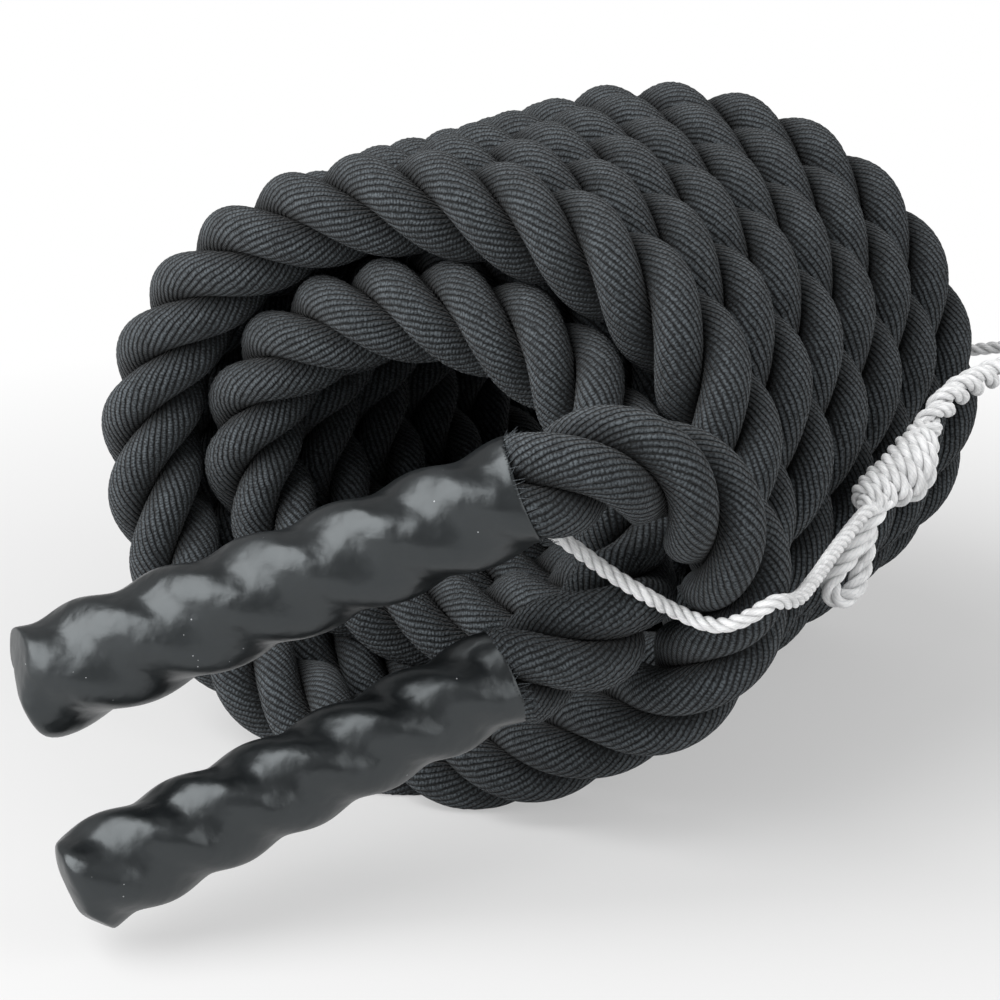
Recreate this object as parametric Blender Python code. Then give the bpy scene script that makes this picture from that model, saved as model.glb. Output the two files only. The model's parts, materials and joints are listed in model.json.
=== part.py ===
"""Battle rope: a 38 mm rope wound as a two-layer bundle, with two shrunk handle sleeves and a tie cord.

Metres, +Z up. The bundle lies on its side with its axis along Y and its two handles at the front, at -Y.
The origin is on the floor, in the middle of the flat under the middle turn of the outer layer.
"""
import math

import bmesh
import bpy
import numpy as np
from mathutils import Matrix, Vector

# Rope
ROPE_DIAMETER = 0.038
TURN_CLEARANCE = 0.0014
SEAT_GAP = 0.0003
FLAT_SHARE = 0.13

# Coil: half sizes of the open bore at the front, how it leans, and how the two layers lie
BORE_HALF_WIDTH = 0.0675
BORE_HALF_HEIGHT = 0.0455
BACK_DRAWN_IN = 0.0044
SECTION_LEAN = math.radians(6)
OUTER_TURNS = 6.5
CLIMB_TURNS = 0.5
NEST_ANGLE = math.radians(81)
OUTER_LEAVE_ANGLE = math.radians(141)
INNER_LEAVE_ANGLE = math.radians(51)
LOOP_POINTS = 24
LOOP_RESOLUTION = 1
LEAST_TURN_GAP = 0.0004
BEND_RESOLUTION = 4

# Route of the rope in front of the coil: X right, Y back from the front row, Z up from the coil's axis
UPPER_BEND_ROUTE = [
    (0.1375, 0.0020, -0.0184),
    (0.1384, -0.0214, 0.0195),
    (0.1272, -0.0413, 0.0398),
    (0.1124, -0.0577, 0.0433),
]
UPPER_MOUTH = (0.0945, -0.0727, 0.0358)
UPPER_AIM = (-0.0491, -0.1497, -0.0307)
LOWER_LEAD_ROUTE = [
    (0.0770, 0.0179, 0.0343),
    (0.0912, 0.0091, 0.0156),
    (0.0973, 0.0015, 0.0022),
    (0.0991, -0.0086, -0.0129),
]
LOWER_MOUTH = (0.0780, -0.0559, -0.0369)
LOWER_AIM = (-0.0206, -0.1638, -0.0942)

# Rope end inside a sleeve: strands on a right-hand helix, squeezed to a share of the rope's diameter
STRAND_COUNT = 3
SQUEEZED_SHARE = 0.885
LAY_PITCH = 0.090
STRAND_GAP = 0.0005
STRAND_RESOLUTION = 2

# Shrunk handle sleeve, how far each handle is turned, and the share to which the lower one shrank
SLEEVE_LENGTH = 0.176
UPPER_TURN = math.radians(94)
LOWER_TURN = math.radians(75)
LOWER_SHARE = 0.9
SLEEVE_WALL = 0.0016
SLEEVE_FIT = 0.0007
LOBE_DEPTH_SHARE = 0.075
TIP_SCALE = 0.985
TAPER_START_SHARE = 0.30
TIP_ROUNDING = 0.0050
TIP_ROUNDING_STEPS = 3
TIP_WALL = 0.0022
SLEEVE_RINGS = 30
SLEEVE_SIDES = 24

# Binding tape round the strands, near the tip
BINDING_WIDTH = 0.022
BINDING_THICKNESS = 0.0007
BINDING_FIT = 0.0009
BINDING_FROM_TIP = 0.014

# Tie cord
CORD_RESOLUTION = 2
TIE_DIAMETER = 0.0056
DOUBLED_DIAMETER = 0.0104
TAIL_DIAMETER = 0.0076
KNOT_CORD_DIAMETER = 0.0070
KNOT_TURNS = 3
KNOT_GAP = 0.0006
KNOT_POINTS_PER_TURN = 12
KNOT_CENTRE = (0.1518, 0.1110, 0.0000)
TIE_FRONT_ROUTE = [
    (0.1507, 0.0830, -0.0075),
    (0.1540, 0.0500, -0.0105),
    (0.1590, 0.0180, -0.0120),
    (0.1622, -0.0060, -0.0112),
    (0.1595, -0.0183, -0.0087),
    (0.1518, -0.0222, -0.0144),
    (0.1409, -0.0225, -0.0187),
    (0.1273, -0.0231, -0.0162),
    (0.1177, -0.0341, -0.0069),
    (0.1069, -0.0391, 0.0007),
    (0.0930, -0.0470, 0.0130),
    (0.0640, -0.0200, 0.0080),
    (0.0400, 0.0200, -0.0040),
    (0.0330, 0.0800, -0.0180),
    (0.0330, 0.1600, -0.0210),
    (0.0390, 0.2400, -0.0170),
    (0.0700, 0.2960, -0.0080),
]
TIE_DOUBLED_ROUTE = [
    (0.1280, 0.3080, 0.0040),
    (0.1650, 0.2850, 0.0140),
    (0.1665, 0.2350, 0.0230),
    (0.1575, 0.1900, 0.0270),
    (0.1540, 0.1560, 0.0195),
]
TAIL_ROUTE = [
    (0.1460, 0.0964, -0.0111),
    (0.1430, 0.0890, -0.0290),
    (0.1388, 0.0835, -0.0425),
]
TAIL_GAP = 0.0012

# Colours, roughness and metallic value of each material
ROPE_BLACK = ((0.030, 0.033, 0.036), 0.85, 0.0)
SLEEVE_BLACK = ((0.022, 0.023, 0.025), 0.28, 0.0)
TAPE_GREY = ((0.10, 0.10, 0.11), 0.60, 0.0)
TIE_WHITE = ((0.86, 0.87, 0.88), 0.75, 0.0)

PITCH = ROPE_DIAMETER + TURN_CLEARANCE
ROPE_RADIUS = ROPE_DIAMETER / 2
INNER_HALF_WIDTH = BORE_HALF_WIDTH + ROPE_RADIUS
INNER_HALF_HEIGHT = BORE_HALF_HEIGHT + ROPE_RADIUS
END_ENVELOPE = SQUEEZED_SHARE * ROPE_DIAMETER
LOBE_DEPTH = LOBE_DEPTH_SHARE * END_ENVELOPE
TAIL_SPREAD = (TAIL_DIAMETER + TAIL_GAP) / 2
FULL_TURN = 2 * math.pi


def clear_scene():
    """Empties the scene, so that the script gives the same result each run."""
    for old in list(bpy.data.objects):
        bpy.data.objects.remove(old, do_unlink=True)


def material(name, look):
    """A Principled material with a colour, a roughness and a metallic value."""
    colour, roughness, metallic = look
    made = bpy.data.materials.new(name)
    made.use_nodes = True
    shader = made.node_tree.nodes["Principled BSDF"]
    shader.inputs["Base Color"].default_value = (*colour, 1.0)
    shader.inputs["Roughness"].default_value = roughness
    shader.inputs["Metallic"].default_value = metallic
    return made


def ease(share):
    """Smooth step from 0 to 1."""
    share = np.clip(share, 0, 1)
    return share * share * (3 - 2 * share)


def unit(vector):
    vector = np.asarray(vector, dtype=float)
    return vector / np.linalg.norm(vector)


def smooth_route(route, spacing):
    """Points of a smooth curve through a route's points, about one spacing apart."""
    pts = np.asarray(route, dtype=float)
    pts = np.vstack([2 * pts[0] - pts[1], pts, 2 * pts[-1] - pts[-2]])
    made = []
    for a, b, c, d in zip(pts[:-3], pts[1:-2], pts[2:-1], pts[3:]):
        t1 = math.sqrt(np.linalg.norm(b - a))
        t2 = t1 + math.sqrt(np.linalg.norm(c - b))
        t3 = t2 + math.sqrt(np.linalg.norm(d - c))
        count = max(1, round(float(np.linalg.norm(c - b)) / spacing))
        t = np.linspace(t1, t2, count, endpoint=False)[:, None]
        a1 = (t1 - t) / t1 * a + t / t1 * b
        a2 = (t2 - t) / (t2 - t1) * b + (t - t1) / (t2 - t1) * c
        a3 = (t3 - t) / (t3 - t2) * c + (t - t2) / (t3 - t2) * d
        b1 = (t2 - t) / t2 * a1 + t / t2 * a2
        b2 = (t3 - t) / (t3 - t1) * a2 + (t - t1) / (t3 - t1) * a3
        made.append((t2 - t) / (t2 - t1) * b1 + (t - t1) / (t2 - t1) * b2)
    made.append(pts[-2][None])
    return np.vstack(made)


def layer_distance(angle):
    """How far the outer layer lies over the inner: least where turns nest, most where they cross."""
    offset_share = (0.5 + 2 * (angle - NEST_ANGLE) / FULL_TURN) % 1.0
    offset_share = np.minimum(offset_share, 1 - offset_share)
    return PITCH * np.sqrt(1 - offset_share ** 2)


def coil_points(angle, climb_share, depth):
    """Points of the coil. The angle runs clockwise from the section's own top, seen from the front."""
    outward = np.stack([np.sin(angle) / INNER_HALF_WIDTH, np.cos(angle) / INNER_HALF_HEIGHT], -1)
    outward /= np.linalg.norm(outward, axis=-1, keepdims=True)
    drawn_in = BACK_DRAWN_IN * depth / (OUTER_TURNS * PITCH)
    rise = climb_share * layer_distance(angle) - drawn_in
    across = INNER_HALF_WIDTH * np.sin(angle) + rise * outward[:, 0]
    up = INNER_HALF_HEIGHT * np.cos(angle) + rise * outward[:, 1]
    lean = (math.cos(SECTION_LEAN), math.sin(SECTION_LEAN))
    return np.stack([across * lean[0] - up * lean[1], depth, up * lean[0] + across * lean[1]], -1)


def winding_loops():
    """The coil: inner layer from front to back, a climb of half a turn, outer layer from back to front."""
    inner_sweep = INNER_LEAVE_ANGLE - NEST_ANGLE + (OUTER_TURNS - CLIMB_TURNS) * FULL_TURN
    climb_sweep = CLIMB_TURNS * FULL_TURN
    outer_sweep = OUTER_TURNS * FULL_TURN - (OUTER_LEAVE_ANGLE - NEST_ANGLE)
    sweep = inner_sweep + climb_sweep + outer_sweep
    swept = np.linspace(0, sweep, round(sweep / FULL_TURN * LOOP_POINTS) + 1)
    climbed = np.clip((swept - inner_sweep) / climb_sweep, 0, 1)
    back = np.minimum(swept, inner_sweep) - (INNER_LEAVE_ANGLE - NEST_ANGLE)
    forward = np.maximum(swept - inner_sweep - climb_sweep, 0)
    depth = PITCH / 2 + PITCH * (back - forward) / FULL_TURN
    depth = depth + PITCH * CLIMB_TURNS * np.sin(math.pi * climbed) / math.pi
    return coil_points(INNER_LEAVE_ANGLE - swept, ease(climbed), depth)


def lower_axis():
    """Direction of the lower handle, from its mouth to its tip."""
    return unit(np.subtract(LOWER_AIM, LOWER_MOUTH))


def upper_axis():
    """Direction of the upper handle, from its mouth to its tip."""
    return unit(np.subtract(UPPER_AIM, UPPER_MOUTH))


def winding_points():
    """Centre line of the wound rope, from the lower handle's mouth to the start of the bend."""
    loops = winding_loops()
    straight = np.array(LOWER_MOUTH) - ROPE_DIAMETER * lower_axis()
    lead = smooth_route([loops[0], *LOWER_LEAD_ROUTE, straight, LOWER_MOUTH], ROPE_DIAMETER / 3)
    before = [p for p in lead[1:] if np.dot(p - straight, lower_axis()) < -SEAT_GAP]
    lead_end = [np.array(LOWER_MOUTH), straight]
    outer_end = loops[-1] + ROPE_DIAMETER * unit(loops[-1] - loops[-2])
    return np.vstack([lead_end, before[::-1], loops, [outer_end]])


def least_gap(points, diameter):
    """Least free distance of a tube to itself, past the stretch where it is its own neighbour."""
    parts = [np.linspace(a, b, 4, endpoint=False) for a, b in zip(points[:-1], points[1:])]
    dense = np.vstack([*parts, points[-1:]])
    along = np.concatenate([[0], np.cumsum(np.linalg.norm(np.diff(dense, axis=0), axis=1))])
    least = math.inf
    for index, point in enumerate(dense):
        later = along - along[index] > 3 * diameter
        if later.any():
            least = min(least, float(np.linalg.norm(dense[later] - point, axis=1).min()))
    return least - diameter


def route_length(points):
    return float(np.linalg.norm(np.diff(points, axis=0), axis=1).sum())


def tube(name, points, diameter, resolution, look, radii=None):
    """A round tube along points: a curve with a bevel and closed ends."""
    curve = bpy.data.curves.new(name, "CURVE")
    curve.dimensions = "3D"
    curve.bevel_depth = diameter / 2
    curve.bevel_resolution = resolution
    curve.use_fill_caps = True
    spline = curve.splines.new("POLY")
    spline.points.add(len(points) - 1)
    for index, point in enumerate(points):
        spline.points[index].co = (*point, 1.0)
        spline.points[index].radius = 1.0 if radii is None else float(radii[index])
    spline.use_smooth = True
    made = bpy.data.objects.new(name, curve)
    bpy.context.collection.objects.link(made)
    curve.materials.append(look)
    return made


def as_mesh(source):
    """Replaces a curve object by a mesh object of the same name, so that it can be cut."""
    name = source.name
    mesh = bpy.data.meshes.new_from_object(source.evaluated_get(bpy.context.evaluated_depsgraph_get()))
    bpy.data.objects.remove(source, do_unlink=True)
    made = bpy.data.objects.new(name, mesh)
    mesh.name = name
    bpy.context.collection.objects.link(made)
    return made


def mesh_object(name, shape, look):
    """An object from a bmesh, with its faces pointing out and smooth."""
    bmesh.ops.recalc_face_normals(shape, faces=shape.faces)
    mesh = bpy.data.meshes.new(name)
    shape.to_mesh(mesh)
    shape.free()
    mesh.shade_smooth()
    mesh.set_sharp_from_angle(angle=math.radians(45))
    mesh.materials.append(look)
    made = bpy.data.objects.new(name, mesh)
    bpy.context.collection.objects.link(made)
    return made


def cut_flat(target, height):
    """Cuts off what lies below a height, with a box that stays as a hidden cutter."""
    size = 4 * (BORE_HALF_WIDTH + OUTER_TURNS * PITCH)
    bpy.ops.mesh.primitive_cube_add(size=size)
    cutter = bpy.context.active_object
    cutter.name = "floor_cutter"
    cutter.location = (0, 0, height - size / 2)
    cutter.hide_render = True
    cutter.display_type = "WIRE"
    cut = target.modifiers.new("flat", "BOOLEAN")
    cut.object = cutter
    cut.operation = "DIFFERENCE"
    cut.solver = "EXACT"
    return cutter


def handle_matrix(mouth, axis, turn=0.0):
    """Places a handle: its own +Z runs from the rope's end face to the tip."""
    way = Vector(axis).to_track_quat("Z", "Y").to_matrix().to_4x4()
    return Matrix.Translation(Vector(mouth)) @ way @ Matrix.Rotation(turn, 4, "Z")


def stations():
    """Places along a handle of its sections, the same for the sleeve, the strands and the binding."""
    return np.linspace(SEAT_GAP, SLEEVE_LENGTH - TIP_ROUNDING, SLEEVE_RINGS)


def taper(along):
    """Scale of the handle's section, less towards the tip."""
    share = (along / SLEEVE_LENGTH - TAPER_START_SHARE) / (1 - TAPER_START_SHARE)
    return 1 - (1 - TIP_SCALE) * ease(share)


def strand_sizes():
    """Strand radius and helix radius, so that the strands fill the envelope and just clear each other."""
    low = 0.0
    high = END_ENVELOPE / 4
    turns = np.linspace(-FULL_TURN / 2, FULL_TURN / 2, 721)
    for _ in range(40):
        strand = (low + high) / 2
        helix = END_ENVELOPE / 2 - strand
        other = turns + FULL_TURN / STRAND_COUNT
        rise = LAY_PITCH * turns / FULL_TURN
        near = np.stack([helix * np.cos(other) - helix, helix * np.sin(other), rise], -1)
        if np.linalg.norm(near, axis=1).min() > 2 * strand + STRAND_GAP:
            low = strand
        else:
            high = strand
    return low, END_ENVELOPE / 2 - low


def lobed_ring(along, crest, depth, scale, rounding=0.0):
    """Points of a section with a lobe over each strand, turned with the lay and drawn in by the rounding."""
    turn = FULL_TURN * along / LAY_PITCH
    made = []
    for side in range(SLEEVE_SIDES):
        angle = FULL_TURN * side / SLEEVE_SIDES
        valley_share = (1 - math.cos(STRAND_COUNT * (angle - turn))) / 2
        radius = scale * (crest - depth * valley_share) - rounding
        made.append((radius * math.cos(angle), radius * math.sin(angle), along))
    return made


def add_ring(shape, points):
    return [shape.verts.new(p) for p in points]


def bridge(shape, first, second):
    """Quads between two rings of the same number of points."""
    count = len(first)
    for k in range(count):
        shape.faces.new((first[k], first[(k + 1) % count], second[(k + 1) % count], second[k]))


def sleeve(name, look):
    """Shrunk sleeve: a lobed, twisted shell that is open at its mouth and closed at its tip."""
    crest = END_ENVELOPE / 2 + SLEEVE_FIT + SLEEVE_WALL
    inner_end = SLEEVE_LENGTH - TIP_WALL
    shape = bmesh.new()
    outer = []
    body_end = SLEEVE_LENGTH - TIP_ROUNDING
    for along in stations():
        outer.append(add_ring(shape, lobed_ring(along, crest, LOBE_DEPTH, taper(along))))
    for step in range(1, TIP_ROUNDING_STEPS + 1):
        angle = math.pi / 2 * step / TIP_ROUNDING_STEPS
        along = body_end + TIP_ROUNDING * math.sin(angle)
        drawn_in = TIP_ROUNDING * (1 - math.cos(angle))
        outer.append(add_ring(shape, lobed_ring(along, crest, LOBE_DEPTH, taper(along), drawn_in)))
    inner = []
    for along in stations():
        inner.append(add_ring(shape, lobed_ring(along, crest - SLEEVE_WALL, LOBE_DEPTH, taper(along))))
    inner.append(add_ring(shape, lobed_ring(inner_end, crest - SLEEVE_WALL, LOBE_DEPTH, taper(inner_end),
                                            TIP_ROUNDING / 2)))
    for rings in (outer, inner):
        for first, second in zip(rings[:-1], rings[1:]):
            bridge(shape, first, second)
    bridge(shape, outer[0], inner[0])
    shape.faces.new(outer[-1])
    shape.faces.new(inner[-1])
    return mesh_object(name, shape, look)


def cut_end(target, place, keep, reach):
    """Cuts a mesh object's end at a place, square to a direction, keeps that side and closes it."""
    shape = bmesh.new()
    shape.from_mesh(target.data)
    faces = [f for f in shape.faces if (f.calc_center_median() - Vector(place)).length < reach]
    edges = {e for f in faces for e in f.edges}
    verts = {v for f in faces for v in f.verts}
    near = [*verts, *edges, *faces]
    cut = bmesh.ops.bisect_plane(shape, geom=near, plane_co=place, plane_no=keep, clear_inner=True)
    rim = [e for e in cut["geom_cut"] if isinstance(e, bmesh.types.BMEdge)]
    bmesh.ops.edgeloop_fill(shape, edges=rim)
    bmesh.ops.recalc_face_normals(shape, faces=shape.faces)
    shape.to_mesh(target.data)
    shape.free()


def end_strand(name, phase, look):
    """One strand of the rope's end inside a sleeve, cut square where it meets the rope."""
    strand, helix = strand_sizes()
    along = np.concatenate([[-2 * strand, -strand], stations()[:-1]])
    angle = FULL_TURN * along / LAY_PITCH + phase
    scale = np.array([strand_scale(a) for a in along])
    points = np.stack([scale * helix * np.cos(angle), scale * helix * np.sin(angle), along], -1)
    made = as_mesh(tube(name, points, 2 * strand, STRAND_RESOLUTION, look, scale))
    cut_end(made, (0, 0, SEAT_GAP), (0, 0, 1), END_ENVELOPE)
    return made


def strand_scale(along):
    """Scale of the strands: the sleeve's taper, less what the binding needs near the tip."""
    start = SLEEVE_LENGTH - BINDING_FROM_TIP - 2 * BINDING_WIDTH
    room = 2 * (BINDING_THICKNESS + BINDING_FIT) / END_ENVELOPE
    return taper(along) - room * float(ease((along - start) / (BINDING_WIDTH / 2)))


def binding(name, look):
    """Binding tape: a thin lobed band between the strands and the sleeve."""
    start = SLEEVE_LENGTH - BINDING_FROM_TIP - BINDING_WIDTH
    crest = END_ENVELOPE / 2
    shape = bmesh.new()
    outer = []
    inner = []
    end = start + BINDING_WIDTH
    for along in [start, *[s for s in stations() if start < s < end], end]:
        outer.append(add_ring(shape, lobed_ring(along, crest, LOBE_DEPTH, taper(along))))
        inner.append(add_ring(shape, lobed_ring(along, crest, LOBE_DEPTH, taper(along), BINDING_THICKNESS)))
    for rings in (outer, inner):
        for first, second in zip(rings[:-1], rings[1:]):
            bridge(shape, first, second)
    bridge(shape, outer[0], inner[0])
    bridge(shape, outer[-1], inner[-1])
    return mesh_object(name, shape, look)


def handle(side, place, share, looks):
    """Everything of one handle, at a share of its full size: the strands, their binding and the sleeve."""
    made = []
    for index in range(STRAND_COUNT):
        name = f"{side}_end_strand_{chr(ord('a') + index)}"
        phase = FULL_TURN * index / STRAND_COUNT
        made.append(end_strand(name, phase, looks["rope"]))
    made.append(binding(f"{side}_end_binding", looks["tape"]))
    made.append(sleeve(f"{side}_handle_sleeve", looks["sleeve"]))
    for piece in made:
        piece.data.transform(Matrix.Scale(share, 4))
        piece.matrix_local = place
    return made


def rope_winding(looks):
    """The wound rope as one tube, cut flat where it lies on the floor."""
    points = winding_points()
    gap = least_gap(points, ROPE_DIAMETER)
    print(f"rope_winding: {route_length(points):.3f} m, least gap to itself {gap * 1000:.2f} mm")
    if gap < LEAST_TURN_GAP:
        print("rope_winding: the turns lie too close")
    made = as_mesh(tube("rope_winding", points, ROPE_DIAMETER, LOOP_RESOLUTION, looks["rope"]))
    made.data.shade_smooth()
    return made, cut_flat(made, -floor_drop())


def floor_drop():
    """Height of the coil's axis over the floor."""
    return float(-winding_loops()[:, 2].min()) + (0.5 - FLAT_SHARE) * ROPE_DIAMETER


def resting_point():
    """Lowest point of the middle turn of the outer layer."""
    loops = winding_loops()
    low = loops[loops[:, 2] < loops[:, 2].min() + BACK_DRAWN_IN]
    middle = PITCH * OUTER_TURNS / 2
    near = low[np.abs(low[:, 1] - middle) < 0.6 * PITCH]
    return near[near[:, 2].argmin()]


def square_cord(name, route, ways, size, spacing, look):
    """A cord along a route, with end faces square to the two ways given, to meet its neighbours."""
    first_way, last_way = ways
    diameter, resolution = size
    over = diameter / 2
    longer = [route[0] - over * first_way, *route, route[-1] + over * last_way]
    points = smooth_route(longer, spacing)
    made = as_mesh(tube(name, points, diameter, resolution, look))
    reach = 2 * diameter + spacing
    cut_end(made, route[0], first_way, reach)
    cut_end(made, route[-1], -last_way, reach)
    print(f"{name}: {route_length(points) - diameter:.3f} m")
    return made


def upper_rope_bend(looks):
    """The rope's free stretch from the outer layer's end to the upper handle."""
    loops = winding_loops()
    forward = unit(loops[-1] - loops[-2])
    start = loops[-1] + (ROPE_DIAMETER + SEAT_GAP) * forward
    route = [start, *UPPER_BEND_ROUTE, np.array(UPPER_MOUTH)]
    ways = (forward, upper_axis())
    size = (ROPE_DIAMETER, BEND_RESOLUTION)
    return square_cord("upper_rope_bend", route, ways, size, ROPE_DIAMETER / 3, looks["rope"])


def knot_axis():
    """Direction of the cord through the knot, from its front side to its back side."""
    return unit(np.subtract(TIE_DOUBLED_ROUTE[-1], TIE_FRONT_ROUTE[0]))


def knot_half_length():
    """Half the length of the knot's wraps along the cord."""
    return (KNOT_TURNS + 1) * (KNOT_CORD_DIAMETER + KNOT_GAP) / 2


def tie_knot(looks):
    """The knot's wraps: a close helix round the cord."""
    axis = knot_axis()
    radius = DOUBLED_DIAMETER / 2 + KNOT_GAP + KNOT_CORD_DIAMETER / 2
    rise = KNOT_CORD_DIAMETER + KNOT_GAP
    angle = np.linspace(0, KNOT_TURNS * FULL_TURN, KNOT_TURNS * KNOT_POINTS_PER_TURN + 1)
    along = rise * (angle / FULL_TURN - KNOT_TURNS / 2)
    points = np.stack([radius * np.cos(angle), radius * np.sin(angle), along], -1)
    made = tube("tie_knot", points, KNOT_CORD_DIAMETER, CORD_RESOLUTION, looks["tie"])
    made.matrix_local = handle_matrix(KNOT_CENTRE, axis)
    return made


def doubled_way():
    """Direction of the tie cord where the second one begins to run round it."""
    return unit(np.subtract(TIE_DOUBLED_ROUTE[1], TIE_FRONT_ROUTE[-1]))


def tie_cord(looks):
    """The tie cord: from the knot over the front, through the bore and round the back of the coil."""
    centre = np.array(KNOT_CENTRE)
    start = centre - SEAT_GAP / 2 * knot_axis()
    leaves = centre - knot_half_length() * knot_axis()
    route = [start, leaves, *TIE_FRONT_ROUTE, np.array(TIE_DOUBLED_ROUTE[0])]
    ways = (-knot_axis(), doubled_way())
    size = (TIE_DIAMETER, CORD_RESOLUTION)
    return square_cord("tie_cord", route, ways, size, 2.5 * TIE_DIAMETER, looks["tie"])


def tie_doubled(looks):
    """The part of the tie cord where a second one is laid round it."""
    start = np.array(TIE_DOUBLED_ROUTE[0]) + SEAT_GAP * doubled_way()
    centre = np.array(KNOT_CENTRE)
    enters = centre + knot_half_length() * knot_axis()
    end = centre + SEAT_GAP / 2 * knot_axis()
    route = [start, *TIE_DOUBLED_ROUTE[1:], enters, end]
    ways = (doubled_way(), -knot_axis())
    size = (DOUBLED_DIAMETER, CORD_RESOLUTION)
    return square_cord("tie_doubled", route, ways, size, 2 * DOUBLED_DIAMETER, looks["tie"])


def tie_tail(looks):
    """The folded tail: down from the knot, round a short bight and up again."""
    route = np.array(TAIL_ROUTE)
    down = unit(route[-1] - route[0])
    across = unit(np.cross(down, (1, 0, 0)))
    one = [p + TAIL_SPREAD * across for p in route]
    other = [p - TAIL_SPREAD * across for p in route[::-1]]
    bight = [route[-1] + TAIL_SPREAD * down]
    points = smooth_route([*one, *bight, *other], TAIL_DIAMETER)
    return tube("tie_tail", points, TAIL_DIAMETER, CORD_RESOLUTION, looks["tie"])


def build():
    clear_scene()
    looks = {
        "rope": material("rope_fibre", ROPE_BLACK),
        "sleeve": material("shrunk_sleeve", SLEEVE_BLACK),
        "tape": material("binding_tape", TAPE_GREY),
        "tie": material("tie_fibre", TIE_WHITE),
    }
    winding, cutter = rope_winding(looks)
    made = [winding, cutter, upper_rope_bend(looks)]
    made += handle("upper", handle_matrix(UPPER_MOUTH, upper_axis(), UPPER_TURN), 1.0, looks)
    made += handle("lower", handle_matrix(LOWER_MOUTH, lower_axis(), LOWER_TURN), LOWER_SHARE, looks)
    made += [tie_cord(looks), tie_doubled(looks), tie_knot(looks), tie_tail(looks)]
    frame = bpy.data.objects.new("coil_axis", None)
    bpy.context.collection.objects.link(frame)
    rest = resting_point()
    frame.location = (-rest[0], -rest[1], floor_drop())
    for piece in made:
        piece.parent = frame


build()
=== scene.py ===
"""Battle rope, dressed: the laid black rope, its shrunk sleeves and the white tie cord round the bundle.

Metres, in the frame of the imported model. The bundle lies on its side with its axis along Y.
"""
import json
import math

import bpy
import numpy as np
from mathutils import Matrix, Vector

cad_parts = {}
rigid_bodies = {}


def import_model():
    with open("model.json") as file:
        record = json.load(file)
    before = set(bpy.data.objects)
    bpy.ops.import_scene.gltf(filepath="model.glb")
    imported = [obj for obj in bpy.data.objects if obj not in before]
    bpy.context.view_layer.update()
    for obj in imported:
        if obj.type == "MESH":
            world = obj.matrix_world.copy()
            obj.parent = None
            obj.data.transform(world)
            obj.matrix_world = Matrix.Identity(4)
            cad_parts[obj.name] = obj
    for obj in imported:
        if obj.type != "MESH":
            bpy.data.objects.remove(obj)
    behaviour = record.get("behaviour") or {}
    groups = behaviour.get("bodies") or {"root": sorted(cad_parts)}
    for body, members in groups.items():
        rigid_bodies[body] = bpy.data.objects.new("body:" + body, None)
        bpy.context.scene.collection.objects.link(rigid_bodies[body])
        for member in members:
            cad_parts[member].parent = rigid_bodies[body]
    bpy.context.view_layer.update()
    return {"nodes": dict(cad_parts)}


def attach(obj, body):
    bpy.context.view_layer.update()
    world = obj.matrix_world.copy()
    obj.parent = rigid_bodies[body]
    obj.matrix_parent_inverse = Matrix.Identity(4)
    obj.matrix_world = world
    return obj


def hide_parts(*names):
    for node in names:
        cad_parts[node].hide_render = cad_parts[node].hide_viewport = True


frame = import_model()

FULL_TURN = 2 * math.pi

# Camera, as the picture was taken
AZIMUTH = math.radians(28.7)
ELEVATION = math.radians(17.2)
AIM_IN_COIL = (0.0348, 0.0187, -0.0010)
DISTANCE = 1.1
LENS_MM = 108.36
SENSOR_MM = 36.0

# Rope and coil as in the model, from the coil's axis in the front row: X is right, Y back, Z up
ROPE_DIAMETER = 0.038
PITCH = ROPE_DIAMETER + 0.0014
INNER_HALF_WIDTH = 0.0675 + ROPE_DIAMETER / 2
INNER_HALF_HEIGHT = 0.0455 + ROPE_DIAMETER / 2
BACK_DRAWN_IN = 0.0044
SECTION_LEAN = math.radians(6)
FLAT_SHARE = 0.13
OUTER_TURNS = 6.5
CLIMB_TURNS = 0.5
NEST_ANGLE = math.radians(81)
OUTER_LEAVE_ANGLE = math.radians(141)
INNER_LEAVE_ANGLE = math.radians(51)
LOOP_POINTS = 24
NEAR_MIDDLE_SHARE = 0.6
UPPER_BEND_ROUTE = [
    (0.1375, 0.0020, -0.0184),
    (0.1384, -0.0214, 0.0195),
    (0.1272, -0.0413, 0.0398),
    (0.1124, -0.0577, 0.0433),
]
UPPER_MOUTH = np.array((0.0945, -0.0727, 0.0358))
UPPER_AIM = np.array((-0.0491, -0.1497, -0.0307))
LOWER_LEAD_ROUTE = [
    (0.0770, 0.0179, 0.0343),
    (0.0912, 0.0091, 0.0156),
    (0.0973, 0.0015, 0.0022),
    (0.0991, -0.0086, -0.0129),
]
LOWER_MOUTH = np.array((0.0780, -0.0559, -0.0369))
# The lower handle's tip lies 3 mm higher than in the model
LOWER_AIM = np.array((-0.0206, -0.1638, -0.0915))

# The rope as drawn: its thickness, its points and where its three lengths meet
ROPE_DRAWN = 0.0394
ROPE_STEPS = 12
ROPE_SPACING = 0.0004
ROPE_SOFTENING = 0.006
INNER_CUT = 0.42
FRONT_LENGTH = 1.42
FLOOR_GAP = 0.0003

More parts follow.
